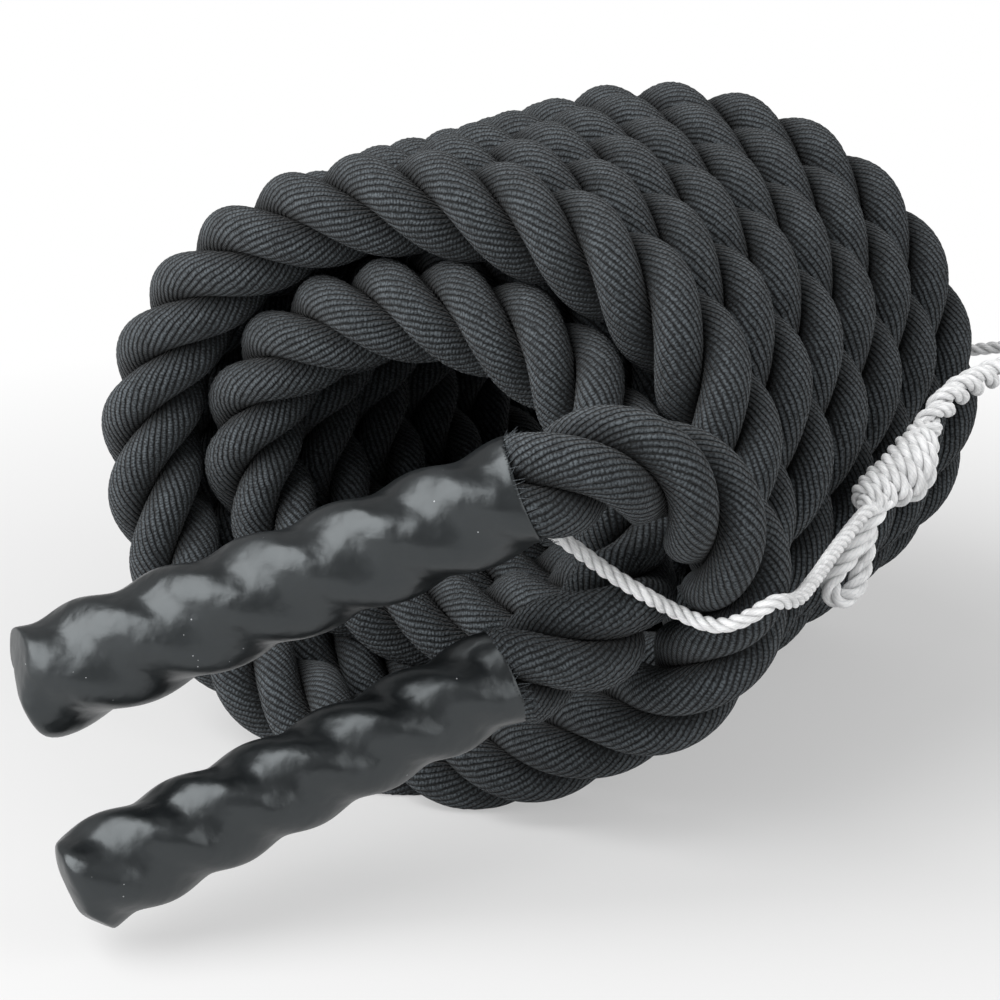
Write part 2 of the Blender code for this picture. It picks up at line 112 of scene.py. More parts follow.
# Shrunk sleeves and the rope's ends in them, before each handle's own share of the size
SLEEVE_LENGTH = 0.176
SLEEVE_CREST = 0.0196
SLEEVE_CORNERS = 48
SLEEVE_STEPS = 60
FILM_WALL = 0.0009
FILM_SLACK = 0.0003
SQUEEZED_SHARE = 0.885
LOBE_DEPTH = 0.075 * SQUEEZED_SHARE * ROPE_DIAMETER
END_LAY_PITCH = 0.090
TIP_SCALE = 1.065
SWELL_START_SHARE = 0.30
TIP_ROUNDING = 0.003
TIP_ROUNDED_SHARE = 0.04
TIP_INSETS = [(0.0025, 0.0013), (0.0045, 0.0014), (0.0045, 0.0006)]
ROPE_SHORT_OF_TIP = 0.008
INSIDE_POINTS = 8
HANDLE_MARGIN = 0.03
SQUEEZE_START = -0.003
SQUEEZE_LENGTH = 0.007

# Loose fibres at the mouths. Least and most: reach along the rope, lift off it, drift round it
FRAY_COUNT = 64
FRAY_SEED = 11
FRAY_ROOT = 0.0186
FRAY_RADIUS = 0.00016
FRAY_LEAST = (0.0025, 0.0004, -0.10)
FRAY_MOST = (0.0065, 0.0026, 0.10)
FRAY_SCATTER = 0.4
FRAY_SUNK = 0.001
FRAY_RINGS = 5
FRAY_SIDES = 4

# Tie cord. A turn of the knot: along the knot, radius, place across and up, cord's diameter
TIE_DIAMETER = 0.0056
TWIN_DIAMETER = 0.0060
TWIN_SPREAD = 0.0029
TAIL_DIAMETER = 0.0082
TAIL_SPREAD = 0.0049
TAIL_TWIST = math.radians(50)
TAIL_TWIST_SHARES = (-1, -0.4, 0.3, 1)
KNOT_HALF_LENGTH = 0.0152
KNOT_HOLD = 0.004
KNOT_SLANT = 0.42
KNOT_STEPS = 24
TIE_STEPS = 16
TIE_SPACING = 0.0008
TWIN_SPACING = 0.0007
TIE_SOFTENING = 0.002
TIE_SIDES = 12
TWIN_SIDES = 10
KNOT_CENTRE = np.array((0.1518, 0.1110, 0.0000))
TIE_FRONT_ROUTE = [
    (0.1507, 0.0830, -0.0075),
    (0.1540, 0.0500, -0.0105),
    (0.1590, 0.0180, -0.0120),
    (0.1622, -0.0060, -0.0112),
    (0.1595, -0.0183, -0.0087),
    (0.1518, -0.0222, -0.0144),
    (0.1409, -0.0225, -0.0187),
    (0.1273, -0.0231, -0.0162),
    (0.1177, -0.0341, -0.0069),
    (0.1069, -0.0391, 0.0007),
    (0.0930, -0.0470, 0.0130),
    (0.0640, -0.0200, 0.0080),
    (0.0400, 0.0200, -0.0040),
    (0.0330, 0.0800, -0.0180),
    (0.0330, 0.1600, -0.0210),
    (0.0390, 0.2400, -0.0170),
    (0.0700, 0.2960, -0.0080),
]
KNOT_TURNS = [
    (-0.0215, 0.0012, -0.0026, 0.0018, 0.0050),
    (-0.0190, 0.0050, -0.0026, 0.0018, 0.0056),
    (-0.0130, 0.0054, -0.0022, 0.0016, 0.0058),
    (-0.0068, 0.0062, -0.0010, 0.0008, 0.0064),
    (0.0005, 0.0074, 0.0010, -0.0012, 0.0074),
    (0.0085, 0.0078, 0.0020, -0.0022, 0.0080),
    (0.0165, 0.0074, 0.0018, -0.0018, 0.0076),
    (0.0235, 0.0056, 0.0006, -0.0004, 0.0062),
    (0.0295, 0.0050, 0.0000, 0.0000, 0.0056),
    (0.0320, 0.0012, 0.0000, 0.0000, 0.0050),
]
TIE_DOUBLED_ROUTE = [
    (0.1280, 0.3080, 0.0040),
    (0.1650, 0.2850, 0.0140),
    (0.1665, 0.2350, 0.0190),
    (0.1575, 0.1900, 0.0212),
    (0.1540, 0.1560, 0.0185),
]
TAIL_ROUTE = [
    (0.1500, 0.1020, -0.0050),
    (0.1480, 0.0965, -0.0150),
    (0.1460, 0.0905, -0.0272),
    (0.1425, 0.0855, -0.0372),
]

# Lay of the rope and of the tie cord: each strand's half sizes are shares of the cord's diameter
ROPE_LAY = {
    "strands": 3,
    "middle_share": 0.256,
    "radial_share": 0.244,
    "across_share": 0.268,
    "yarns": 27,
}
TIE_LAY = {
    "strands": 3,
    "middle_share": 0.260,
    "radial_share": 0.240,
    "across_share": 0.275,
    "yarns": 9,
}
WEDGE_ROOT_SHARE = 0.012
COIL_LAY_PITCH = 0.0895
TIE_LAY_PITCH = 0.0150
BIGHT_LAY_PITCH = 0.020
TWIN_LAY_PITCH = 0.0260
YARNS_APART = 11.3

# Noise on the materials
NOISE_DETAIL = 2.0
FINE_DETAIL = 3.0

# Fibre. Colours, from painted shade to painted light over the yarns' relief: between the yarns, on their
# sides, on their ridges. Painted shade: the share of the light left in the grooves between strands
ROPE_FIBRE = {
    "colours": [(0.0042, 0.0048, 0.0054), (0.033, 0.038, 0.042), (0.082, 0.094, 0.103)],
    "painted_shade": 0.16,
    "bead_length": 0.0012,
    "relief": 0.0012,
}
TIE_FIBRE = {
    "colours": [(0.86, 0.87, 0.88), (0.95, 0.955, 0.96), (0.97, 0.97, 0.97)],
    "painted_shade": 0.80,
    "bead_length": 0.0016,
    "relief": 0.00010,
}
FIBRE_SHADER = {
    "Roughness": 0.8,
    "Sheen Weight": 0.08,
    "Sheen Roughness": 0.5,
    "Specular IOR Level": 0.16,
}
COLOUR_STEPS = (0.40, 0.78, 1.0)
PAINTED_SHADE_STEPS = (0.26, 0.5, 0.80)
WAVER_SCALE = 160
WAVER_SIZE = 0.6
FUZZ_SCALE = 1100
FUZZ_SIZE = 1.3
FUZZ_RELIEF = 0.22
PATCH_SCALE = 75
PATCH_BEAD_SHIFT = 3.0
YARN_BEAD_SHIFT = 0.7
BEAD_DEPTH = 0.30
YARN_TONE = 0.25
PATCH_TONE = 0.5
LEAST_TONE = 0.62

# Film
FILM_SHADER = {"IOR": 1.66, "Specular Tint": (0.90, 0.97, 1.0, 1)}
FILM_COLOURS = [(0.35, (0.0035, 0.0043, 0.0049)), (0.70, (0.0072, 0.0086, 0.0096))]
FILM_RELIEF = 0.0016
BULGE_SCALE = 85
BULGE_DETAIL = 1.5
WRINKLE_SCALE = 330
WRINKLE_SIZE = 0.07
CLOUD_SCALE = 45
CLOUD_ROUGHNESS = 0.30
LEAST_ROUGHNESS = 0.20
DUST_SCALE = 210
DUST_RADIUS = 0.055
DUST_FROM_CLOUD = 0.58
DUST_COLOUR = (0.35, 0.36, 0.37, 1)

# Tape
TAPE_SHADER = {"Roughness": 0.7}
TAPE_COLOURS = [(0.3, (0.07, 0.07, 0.08)), (0.7, (0.13, 0.13, 0.14))]
TAPE_GRAIN_SCALE = 700

# Floor, lamps and surroundings. A lamp: name, place, point it faces, size, power
FLOOR_SHADER = {"Base Color": (0.66, 0.66, 0.66, 1), "Roughness": 0.9, "Specular IOR Level": 0.1}
FLOOR_SIZE = 16
FLOOR_GLOW_REACH = 4.0
FLOOR_GLOW = [(0.05, (0.40, 0.40, 0.40)), (0.15, (1, 1, 1))]
LAMPS = [
    ("softbox", (-0.62, -1.20, 1.08), (0.02, -0.06, 0.12), (1.7, 1.9), 44),
    ("fill", (1.70, 0.05, 0.95), (0.10, 0.0, 0.10), (1.6, 1.4), 12),
]
WORLD_STRENGTH = 0.34
WHITE = (1, 1, 1, 1)


def unit(vector):
    vector = np.asarray(vector, dtype=float)
    return vector / np.linalg.norm(vector)


def ease(share):
    """Smooth step from 0 to 1."""
    share = np.clip(share, 0, 1)
    return share * share * (3 - 2 * share)


# Each handle: a fold of its tip has a direction, a tilt and a reach from the middle
UPPER_HANDLE = {
    "mouth": UPPER_MOUTH,
    "axis": unit(UPPER_AIM - UPPER_MOUTH),
    "turn": math.radians(94),
    "share": 1.015,
    "fold": (math.radians(50), math.radians(40), 0.0110),
}
LOWER_HANDLE = {
    "mouth": LOWER_MOUTH,
    "axis": unit(LOWER_AIM - LOWER_MOUTH),
    "turn": math.radians(75),
    "share": 0.915,
    "fold": (math.radians(-60), math.radians(40), 0.0132),
}


def make_camera():
    """The camera at the picture's angle, without roll."""
    data = bpy.data.cameras.new("camera")
    data.lens = LENS_MM
    data.sensor_width = SENSOR_MM
    camera = bpy.data.objects.new("camera", data)
    bpy.context.collection.objects.link(camera)
    level = math.cos(ELEVATION)
    way = Vector((-math.sin(AZIMUTH) * level, math.cos(AZIMUTH) * level, -math.sin(ELEVATION)))
    camera.location = Vector(COIL_PLACE + AIM_IN_COIL) - DISTANCE * way
    camera.rotation_euler = way.to_track_quat("-Z", "Y").to_euler()
    bpy.context.scene.camera = camera


# Routes


def layer_distance(angle):
    """How far the outer layer lies over the inner: least where turns nest, most where they cross."""
    offset_share = (0.5 + 2 * (angle - NEST_ANGLE) / FULL_TURN) % 1.0
    offset_share = np.minimum(offset_share, 1 - offset_share)
    return PITCH * np.sqrt(1 - offset_share ** 2)


def coil_points(angle, climb_share, depth):
    """Points of the coil. The angle runs clockwise from the section's own top, seen from the front."""
    outward = np.stack([np.sin(angle) / INNER_HALF_WIDTH, np.cos(angle) / INNER_HALF_HEIGHT], -1)
    outward /= np.linalg.norm(outward, axis=-1, keepdims=True)
    drawn_in = BACK_DRAWN_IN * depth / (OUTER_TURNS * PITCH)
    rise = climb_share * layer_distance(angle) - drawn_in
    across = INNER_HALF_WIDTH * np.sin(angle) + rise * outward[:, 0]
    up = INNER_HALF_HEIGHT * np.cos(angle) + rise * outward[:, 1]
    lean = (math.cos(SECTION_LEAN), math.sin(SECTION_LEAN))
    return np.stack([across * lean[0] - up * lean[1], depth, up * lean[0] + across * lean[1]], -1)


def winding_loops():
    """The coil: inner layer from front to back, a climb of half a turn, outer layer to the front."""
    inner_sweep = INNER_LEAVE_ANGLE - NEST_ANGLE + (OUTER_TURNS - CLIMB_TURNS) * FULL_TURN
    climb_sweep = CLIMB_TURNS * FULL_TURN
    outer_sweep = OUTER_TURNS * FULL_TURN - (OUTER_LEAVE_ANGLE - NEST_ANGLE)
    sweep = inner_sweep + climb_sweep + outer_sweep
    swept = np.linspace(0, sweep, round(sweep / FULL_TURN * LOOP_POINTS) + 1)
    climbed = np.clip((swept - inner_sweep) / climb_sweep, 0, 1)
    back = np.minimum(swept, inner_sweep) - (INNER_LEAVE_ANGLE - NEST_ANGLE)
    forward = np.maximum(swept - inner_sweep - climb_sweep, 0)
    depth = PITCH / 2 + PITCH * (back - forward) / FULL_TURN
    depth = depth + PITCH * CLIMB_TURNS * np.sin(math.pi * climbed) / math.pi
    return coil_points(INNER_LEAVE_ANGLE - swept, ease(climbed), depth)


LOOPS = winding_loops()
FLOOR_DROP = float(-LOOPS[:, 2].min()) + (0.5 - FLAT_SHARE) * ROPE_DIAMETER


def resting_point():
    """Lowest point of the middle turn of the outer layer."""
    low = LOOPS[LOOPS[:, 2] < LOOPS[:, 2].min() + BACK_DRAWN_IN]
    middle = PITCH * OUTER_TURNS / 2
    near = low[np.abs(low[:, 1] - middle) < NEAR_MIDDLE_SHARE * PITCH]
    return near[near[:, 2].argmin()]


REST = resting_point()
COIL_PLACE = np.array((-REST[0], -REST[1], FLOOR_DROP))


def smooth_route(route, steps):
    """A smooth curve through a route's points, with some steps between each two."""
    pts = np.asarray(route, dtype=float)
    pts = np.vstack([2 * pts[0] - pts[1], pts, 2 * pts[-1] - pts[-2]])
    made = []
    for a, b, c, d in zip(pts[:-3], pts[1:-2], pts[2:-1], pts[3:]):
        t1 = math.sqrt(np.linalg.norm(b - a))
        t2 = t1 + math.sqrt(np.linalg.norm(c - b))
        t3 = t2 + math.sqrt(np.linalg.norm(d - c))
        t = np.linspace(t1, t2, steps, endpoint=False)[:, None]
        a1 = (t1 - t) / t1 * a + t / t1 * b
        a2 = (t2 - t) / (t2 - t1) * b + (t - t1) / (t2 - t1) * c
        a3 = (t3 - t) / (t3 - t2) * c + (t - t2) / (t3 - t2) * d
        b1 = (t2 - t) / t2 * a1 + t / t2 * a2
        b2 = (t3 - t) / (t3 - t1) * a2 + (t - t1) / (t3 - t1) * a3
        made.append((t2 - t) / (t2 - t1) * b1 + (t - t1) / (t2 - t1) * b2)
    made.append(pts[-2][None])
    return np.vstack(made)


def along(points):
    """Distance of each point from the first, along the line."""
    return np.concatenate([[0], np.cumsum(np.linalg.norm(np.diff(points, axis=0), axis=1))])


def evenly(points, spacing, softening):
    """The line again, with points about one spacing apart, its small kinks softened over a length."""
    at = along(points)
    count = max(3, round(at[-1] / spacing)) + 1
    want = np.linspace(0, at[-1], count)
    line = np.stack([np.interp(want, at, points[:, k]) for k in range(3)], -1)
    reach = int(3 * softening / spacing)
    weights = np.exp(-0.5 * (np.arange(-reach, reach + 1) * spacing / softening) ** 2)
    weights /= weights.sum()
    head = 2 * line[0] - line[reach:0:-1]
    tail = 2 * line[-1] - line[-2:-reach - 2:-1]
    padded = np.vstack([head, line, tail])
    return np.stack([np.convolve(padded[:, k], weights, mode="valid") for k in range(3)], -1)


def frames(line):
    """Two directions across a line that turn round it as little as they can."""
    tangent = np.gradient(line, axis=0)
    tangent /= np.linalg.norm(tangent, axis=1, keepdims=True)
    side = np.empty_like(line)
    side[0] = unit(np.cross(tangent[0], (0, 0, 1)))
    for k in range(1, len(line)):
        step = line[k] - line[k - 1]
        mirrored = side[k - 1] - 2 * step.dot(side[k - 1]) / step.dot(step) * step
        turned = tangent[k - 1] - 2 * step.dot(tangent[k - 1]) / step.dot(step) * step
        rest = tangent[k] - turned
        side[k] = mirrored - 2 * rest.dot(mirrored) / rest.dot(rest) * rest
        side[k] -= side[k].dot(tangent[k]) * tangent[k]
        side[k] /= np.linalg.norm(side[k])
    return side, np.cross(tangent, side)


def framed(centre):
    """A centre line with its two directions across and the distance along it."""
    side, other = frames(centre)
    return {"centre": centre, "side": side, "other": other, "at": along(centre)}


def around(line, angle):
    """Directions across a framed line, at one angle round it or at one for each of its points."""
    angle = np.reshape(angle, (-1, 1))
    return np.cos(angle) * line["side"] + np.sin(angle) * line["other"]


def stretch(line, start, stop, spacing):
    """A stretch of a framed line, with rings about one spacing apart."""
    want = np.linspace(start, stop, round((stop - start) / spacing) + 1)
    cut = {"at": want}
    for key in ("centre", "side", "other"):
        cut[key] = np.stack([np.interp(want, line["at"], line[key][:, k]) for k in range(3)], -1)
    return cut


def handle_matrix(handle):
    """Places a handle: its own +Z runs from its mouth to its tip."""
    place = Matrix.Translation(Vector(COIL_PLACE)) @ Matrix.Translation(Vector(handle["mouth"]))
    way = Vector(handle["axis"]).to_track_quat("Z", "Y").to_matrix().to_4x4()
    return place @ way @ Matrix.Rotation(handle["turn"], 4, "Z")


# Laid cords


def section(lay, sides):
    """Section of one strand: outward and sideways of the cord's middle, as shares of its diameter."""
    theta = FULL_TURN * np.arange(sides) / sides
    x = lay["middle_share"] + lay["radial_share"] * np.cos(theta)
    y = lay["across_share"] * np.sin(theta)
    wedge = np.maximum(x, WEDGE_ROOT_SHARE) * math.tan(math.pi / lay["strands"])
    return x, np.sign(y) * np.minimum(np.abs(y), wedge)


def empty_parts():
    """A mesh in the making."""
    return {"points": [], "quads": [], "coordinates": [], "outward": [], "caps": []}


def add_tube(parts, rings, across, distance):
    """Adds a closed tube to a mesh's parts, with yarn coordinates and how far out each corner faces."""
    count, sides = rings.shape[:2]
    base = sum(len(points) for points in parts["points"])
    parts["points"].append(rings.reshape(-1, 3))
    ring = np.arange(count - 1)[:, None] * sides
    here = np.arange(sides)[None, :]
    after = (here + 1) % sides
    quads = np.stack([ring + here, ring + after, ring + sides + after, ring + sides + here], -1) + base
    parts["quads"].append(quads.reshape(-1, 4))
    u = np.stack([across[:-1, :-1], across[:-1, 1:], across[1:, 1:], across[1:, :-1]], -1)
    v = np.stack([distance[:-1], distance[:-1], distance[1:], distance[1:]], -1)
    v = np.repeat(v[:, None, :], sides, axis=1)
    parts["coordinates"].append(np.stack([u, v], -1).reshape(-1, 2))
    # How far out each corner faces, which places the painted shade between strands
    outward = (1 + np.cos(FULL_TURN * np.arange(sides + 1) / sides)) / 2
    corners = np.stack([outward[:-1], outward[1:], outward[1:], outward[:-1]], -1)
    parts["outward"].append(np.tile(corners.ravel(), count - 1))
    parts["caps"].append(base + np.arange(sides)[::-1])
    parts["caps"].append(base + (count - 1) * sides + np.arange(sides))


def add_strands(parts, line, turn, size, lay, sides):
    """Adds the strands of a laid cord. Its yarns run along the cord, against the lay of the strands."""
    x, y = section(lay, sides)
    corner = FULL_TURN * np.arange(sides + 1) / sides
    unwind = turn * 0.5 / lay["across_share"]
    across = (corner[None, :] + unwind[:, None]) * lay["yarns"] / FULL_TURN
    for index in range(lay["strands"]):
        phase = turn + FULL_TURN * index / lay["strands"]
        outward = around(line, phase)[:, None, :]
        sideways = around(line, phase + math.pi / 2)[:, None, :]
        spread = x[None, :, None] * outward + y[None, :, None] * sideways
        rings = line["centre"][:, None, :] + size[:, None, None] * spread
        rings[:, :, 2] = np.maximum(rings[:, :, 2], FLOOR_GAP)
        add_tube(parts, rings, across + index * YARNS_APART, line["at"])


def build_mesh(name, parts, look):
    """One object from tubes, smooth all over, with a UV map of the yarns and one of the strands, which
    places their painted shade.
    """
    points = np.vstack(parts["points"])
    quads = np.vstack(parts["quads"])
    sizes = np.array([4] * len(quads) + [len(cap) for cap in parts["caps"]])
    corners = np.concatenate([quads.ravel(), *parts["caps"]])
    starts = np.concatenate([[0], np.cumsum(sizes)[:-1]])
    mesh = bpy.data.meshes.new(name)
    mesh.vertices.add(len(points))
    mesh.vertices.foreach_set("co", points.ravel())
    mesh.loops.add(len(corners))
    mesh.loops.foreach_set("vertex_index", corners.astype(np.int32))
    mesh.polygons.add(len(sizes))
    mesh.polygons.foreach_set("loop_start", starts.astype(np.int32))
    yarns = np.zeros((len(corners), 2))
    yarns[:quads.size] = np.vstack(parts["coordinates"])
    strands = np.zeros((len(corners), 2))
    strands[:quads.size, 0] = np.concatenate(parts["outward"])
    for layer, values in (("yarns", yarns), ("strands", strands)):
        mesh.uv_layers.new(name=layer)
        mesh.uv_layers[layer].data.foreach_set("uv", values.ravel())
    mesh.update(calc_edges=True)
    mesh.validate()
    mesh.shade_smooth()
    mesh.materials.append(look)
    made = bpy.data.objects.new(name, mesh)
    bpy.context.collection.objects.link(made)
    return made


# The rope


def inside_points(handle):
    """Points of the rope's centre line inside a sleeve, from its mouth on."""
    depths = np.linspace(0, handle["share"] * (SLEEVE_LENGTH - ROPE_SHORT_OF_TIP), INSIDE_POINTS)
    return [handle["mouth"] + depth * handle["axis"] for depth in depths]


def rope_line():
    """Centre line of the whole rope, from the tip of the lower handle to the tip of the upper one."""
    lower = inside_points(LOWER_HANDLE)[::-1]
    upper = inside_points(UPPER_HANDLE)
    straight = LOWER_MOUTH - ROPE_DIAMETER * LOWER_HANDLE["axis"]
    leaves = LOOPS[-1] + ROPE_DIAMETER * unit(LOOPS[-1] - LOOPS[-2])
    route = [*lower, straight, *LOWER_LEAD_ROUTE[::-1], *LOOPS, leaves, *UPPER_BEND_ROUTE, *upper]
    return framed(evenly(smooth_route(route, ROPE_STEPS) + COIL_PLACE, ROPE_SPACING, ROPE_SOFTENING))


def at_mouth(line, handle):
    """Distance along the line to a handle's mouth, and the angle round it of the handle's first lobe."""
    index = np.linalg.norm(line["centre"] - handle["mouth"] - COIL_PLACE, axis=1).argmin()
    way = np.array(handle_matrix(handle).to_3x3().col[0])
    return line["at"][index], math.atan2(line["other"][index] @ way, line["side"][index] @ way)


def rope_turn(line):
    """Turn of the strands along the rope: it meets the lobes of both sleeves, and is steady between."""
    at = line["at"]
    low, start = at_mouth(line, LOWER_HANDLE)
    high, end = at_mouth(line, UPPER_HANDLE)
    strand_step = FULL_TURN / ROPE_LAY["strands"]
    length = high - low
    end += strand_step * round((FULL_TURN * length / COIL_LAY_PITCH - (end - start)) / strand_step)
    turn = start + (end - start) * (at - low) / length
    lower_rate = FULL_TURN / (END_LAY_PITCH * LOWER_HANDLE["share"])
    upper_rate = FULL_TURN / (END_LAY_PITCH * UPPER_HANDLE["share"])
    turn = np.where(at < low, start + lower_rate * (at - low), turn)
    return np.where(at > high, end + upper_rate * (at - high), turn)


def swell(share):
    """Scale of a handle's section at a share of its length, a little more towards the tip."""
    return 1 - (1 - TIP_SCALE) * ease((share - SWELL_START_SHARE) / (1 - SWELL_START_SHARE))


def rope_size(line):
    """Diameter of the rope: full in the coil, squeezed by the film in the sleeves."""
    at = line["at"]
    size = np.full(len(at), ROPE_DRAWN)
    reach = SLEEVE_LENGTH + HANDLE_MARGIN
    for handle, near in ((LOWER_HANDLE, at < reach), (UPPER_HANDLE, at > at[-1] - reach)):
        inside = (line["centre"] - handle["mouth"] - COIL_PLACE) @ handle["axis"]
        squeezed = 2 * (SLEEVE_CREST - FILM_WALL - FILM_SLACK) * handle["share"] / ROPE_DRAWN
        squeeze = 1 - (1 - squeezed) * ease((inside - SQUEEZE_START) / SQUEEZE_LENGTH)
        size = np.where(near, size * squeeze * swell(inside / (handle["share"] * SLEEVE_LENGTH)), size)
    return size


def add_frays(parts, handle):
    """Adds short loose fibres that stand out of the rope just before a sleeve's mouth."""
    place = np.array(handle_matrix(handle))
    chance = np.random.default_rng(FRAY_SEED)
    corner = FULL_TURN * np.arange(FRAY_SIDES) / FRAY_SIDES
    share = np.linspace(0, 1, FRAY_RINGS)
    thick = FRAY_RADIUS * (1 - 0.5 * share)[:, None, None]
    for index in range(FRAY_COUNT):
        reach, lift, drift = chance.uniform(FRAY_LEAST, FRAY_MOST)
        start = FULL_TURN * (index + chance.uniform(-FRAY_SCATTER, FRAY_SCATTER)) / FRAY_COUNT
        angle = start + drift * share
        radius = handle["share"] * FRAY_ROOT + lift * share ** 1.5
        depth = FRAY_SUNK - reach * share
        local = np.stack([radius * np.cos(angle), radius * np.sin(angle), depth], -1)
        line = framed(local @ place[:3, :3].T + place[:3, 3])
        spread = np.stack([around(line, turn) for turn in corner], 1)
        rings = line["centre"][:, None, :] + thick * spread
        add_tube(parts, rings, np.full((FRAY_RINGS, FRAY_SIDES + 1), index + 0.5), line["at"])


def declare_rope(piece, solids):
    """Fixes a length of the rope to the root body and hides the winding's solid and the others it stands
    for.
    """
    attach(piece, "root")
    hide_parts("rope_winding", *solids)


def make_rope(look):
    """The rope in three lengths, the nearest one finest: inner layer, outer layer, front turn."""
    line = rope_line()
    turn = rope_turn(line)
    size = rope_size(line)
    whole = line["at"][-1]
    inner_end = INNER_CUT * whole
    outer_end = whole - FRONT_LENGTH
    low_solids = ["lower_end_strand_a", "lower_end_strand_b", "lower_end_strand_c"]
    high_solids = ["upper_end_strand_a", "upper_end_strand_b", "upper_end_strand_c", "upper_rope_bend"]
    # Name, start, stop, distance between rings, sides of a strand, solids, handle
    lengths = [
        ("rope_inner_layer", 0, inner_end, 0.0030, 16, low_solids, LOWER_HANDLE),
        ("rope_outer_layer", inner_end, outer_end, 0.0024, 20, [], None),
        ("rope_front_turn", outer_end, whole, 0.0016, 26, high_solids, UPPER_HANDLE),
    ]
    for name, start, stop, spacing, sides, solids, handle in lengths:
        cut = stretch(line, start, stop, spacing)
        parts = empty_parts()
        turns = np.interp(cut["at"], line["at"], turn)
        sizes = np.interp(cut["at"], line["at"], size)
        add_strands(parts, cut, turns, sizes, ROPE_LAY, sides)
        if handle:
            add_frays(parts, handle)
        declare_rope(build_mesh(name, parts, look), solids)


# The tie cord


def knot_axis():
    """The way through the knot, from the front part of the tie cord to the doubled part."""
    return unit(np.array(TIE_DOUBLED_ROUTE[-1]) - np.array(TIE_FRONT_ROUTE[0]))


def laid_piece(name, route, size, pitch, look):
    """A laid cord along a route, with an even lay. It has one size, or one for each of even steps."""
    line = framed(evenly(smooth_route(route, TIE_STEPS) + COIL_PLACE, TIE_SPACING, TIE_SOFTENING))
    sizes = np.atleast_1d(size)
    sizes = np.interp(line["at"] / line["at"][-1], np.linspace(0, 1, len(sizes) + 1)[1:], sizes)
    parts = empty_parts()
    add_strands(parts, line, FULL_TURN * line["at"] / pitch, sizes, TIE_LAY, TIE_SIDES)
    return build_mesh(name, parts, look), line


def declare_cord(piece, node):
    """Fixes a tie piece to the root body and hides the solid it stands for."""
    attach(piece, "root")
    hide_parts(node)


def make_knot(look):
    """The knot: slanting wraps of the cord, most bulging in the middle."""
    turns = len(KNOT_TURNS)
    turn = np.linspace(0, turns - 1, KNOT_STEPS * turns)
    columns = [np.interp(turn, np.arange(turns), column) for column in np.transpose(KNOT_TURNS)]
    height, radius, across, up, size = columns
    angle = FULL_TURN * turn
    matrix = np.array(Vector(knot_axis()).to_track_quat("Z", "Y").to_matrix())
    height = height + KNOT_SLANT * radius * np.cos(angle)
    local = np.stack([radius * np.cos(angle), radius * np.sin(angle), height], -1)
    route = KNOT_CENTRE + local @ matrix.T + np.stack([across, np.zeros(len(turn)), up], -1)
    piece, line = laid_piece("knot_wraps", route, size, TIE_LAY_PITCH, look)
    declare_cord(piece, "tie_knot")


def make_front(look):
    """The single cord: from the knot along the front, through the coil and round its back."""
    held = KNOT_CENTRE - KNOT_HOLD * knot_axis()
    leaves = KNOT_CENTRE - KNOT_HALF_LENGTH * knot_axis()
    route = [held, leaves, *TIE_FRONT_ROUTE, TIE_DOUBLED_ROUTE[0]]
    piece, line = laid_piece("tie_line", route, TIE_DIAMETER, TIE_LAY_PITCH, look)
    declare_cord(piece, "tie_cord")


def make_twin(look):
    """The doubled part: two laid cords twisted round each other, from the back to the knot."""
    enters = KNOT_CENTRE + KNOT_HALF_LENGTH * knot_axis()
    held = KNOT_CENTRE + KNOT_HOLD * knot_axis()
    route = smooth_route([*TIE_DOUBLED_ROUTE, enters, held], TIE_STEPS)
    line = framed(evenly(route + COIL_PLACE, TWIN_SPACING, TIE_SOFTENING))
    parts = empty_parts()
    for index in range(2):
        angle = FULL_TURN * line["at"] / TWIN_LAY_PITCH + index * math.pi
        cord = framed(line["centre"] + TWIN_SPREAD * around(line, angle))
        turn = FULL_TURN * cord["at"] / TIE_LAY_PITCH
        add_strands(parts, cord, turn, np.full(len(turn), TWIN_DIAMETER), TIE_LAY, TWIN_SIDES)
    piece = build_mesh("tie_twin", parts, look)
    declare_cord(piece, "tie_doubled")


def make_bight(look):
    """The folded end: down from the knot, round a short bight and up again."""
    route = np.array(TAIL_ROUTE)
    down = unit(route[-1] - route[0])
    first = Vector(np.cross(down, (1, 0, 0))).normalized()
    turns = [Matrix.Rotation(TAIL_TWIST * share, 3, Vector(down)) for share in TAIL_TWIST_SHARES]
    across = [np.array(turn @ first) for turn in turns]
    one = [point + TAIL_SPREAD * way for point, way in zip(route, across)]
    other = [point - TAIL_SPREAD * way for point, way in zip(route, across)][::-1]
    route = [*one, route[-1] + TAIL_SPREAD * down, *other]
    piece, line = laid_piece("tie_bight", route, TAIL_DIAMETER, BIGHT_LAY_PITCH, look)
    declare_cord(piece, "tie_tail")


# Sleeves


def deselect():
    """Leaves nothing selected."""
    for other in bpy.context.view_layer.objects:
        other.select_set(False)


def squeeze_lobes(mesh):
    """Draws the ring in where the film sinks between two strands."""
    for vertex in mesh.vertices:
        angle = math.atan2(vertex.co.y, vertex.co.x)
        radius = SLEEVE_CREST - LOBE_DEPTH * (1 - math.cos(ROPE_LAY["strands"] * angle)) / 2
        vertex.co.x = radius * math.cos(angle)
        vertex.co.y = radius * math.sin(angle)


def sleeve_scale(share):
    """Scale of the sleeve's section: a slow swell, then a rounded tip."""
    left = (1 - share) * SLEEVE_LENGTH / TIP_ROUNDING
    rounding = 1 - TIP_ROUNDED_SHARE * (1 - min(1.0, left)) ** 2
    return swell(share) * rounding


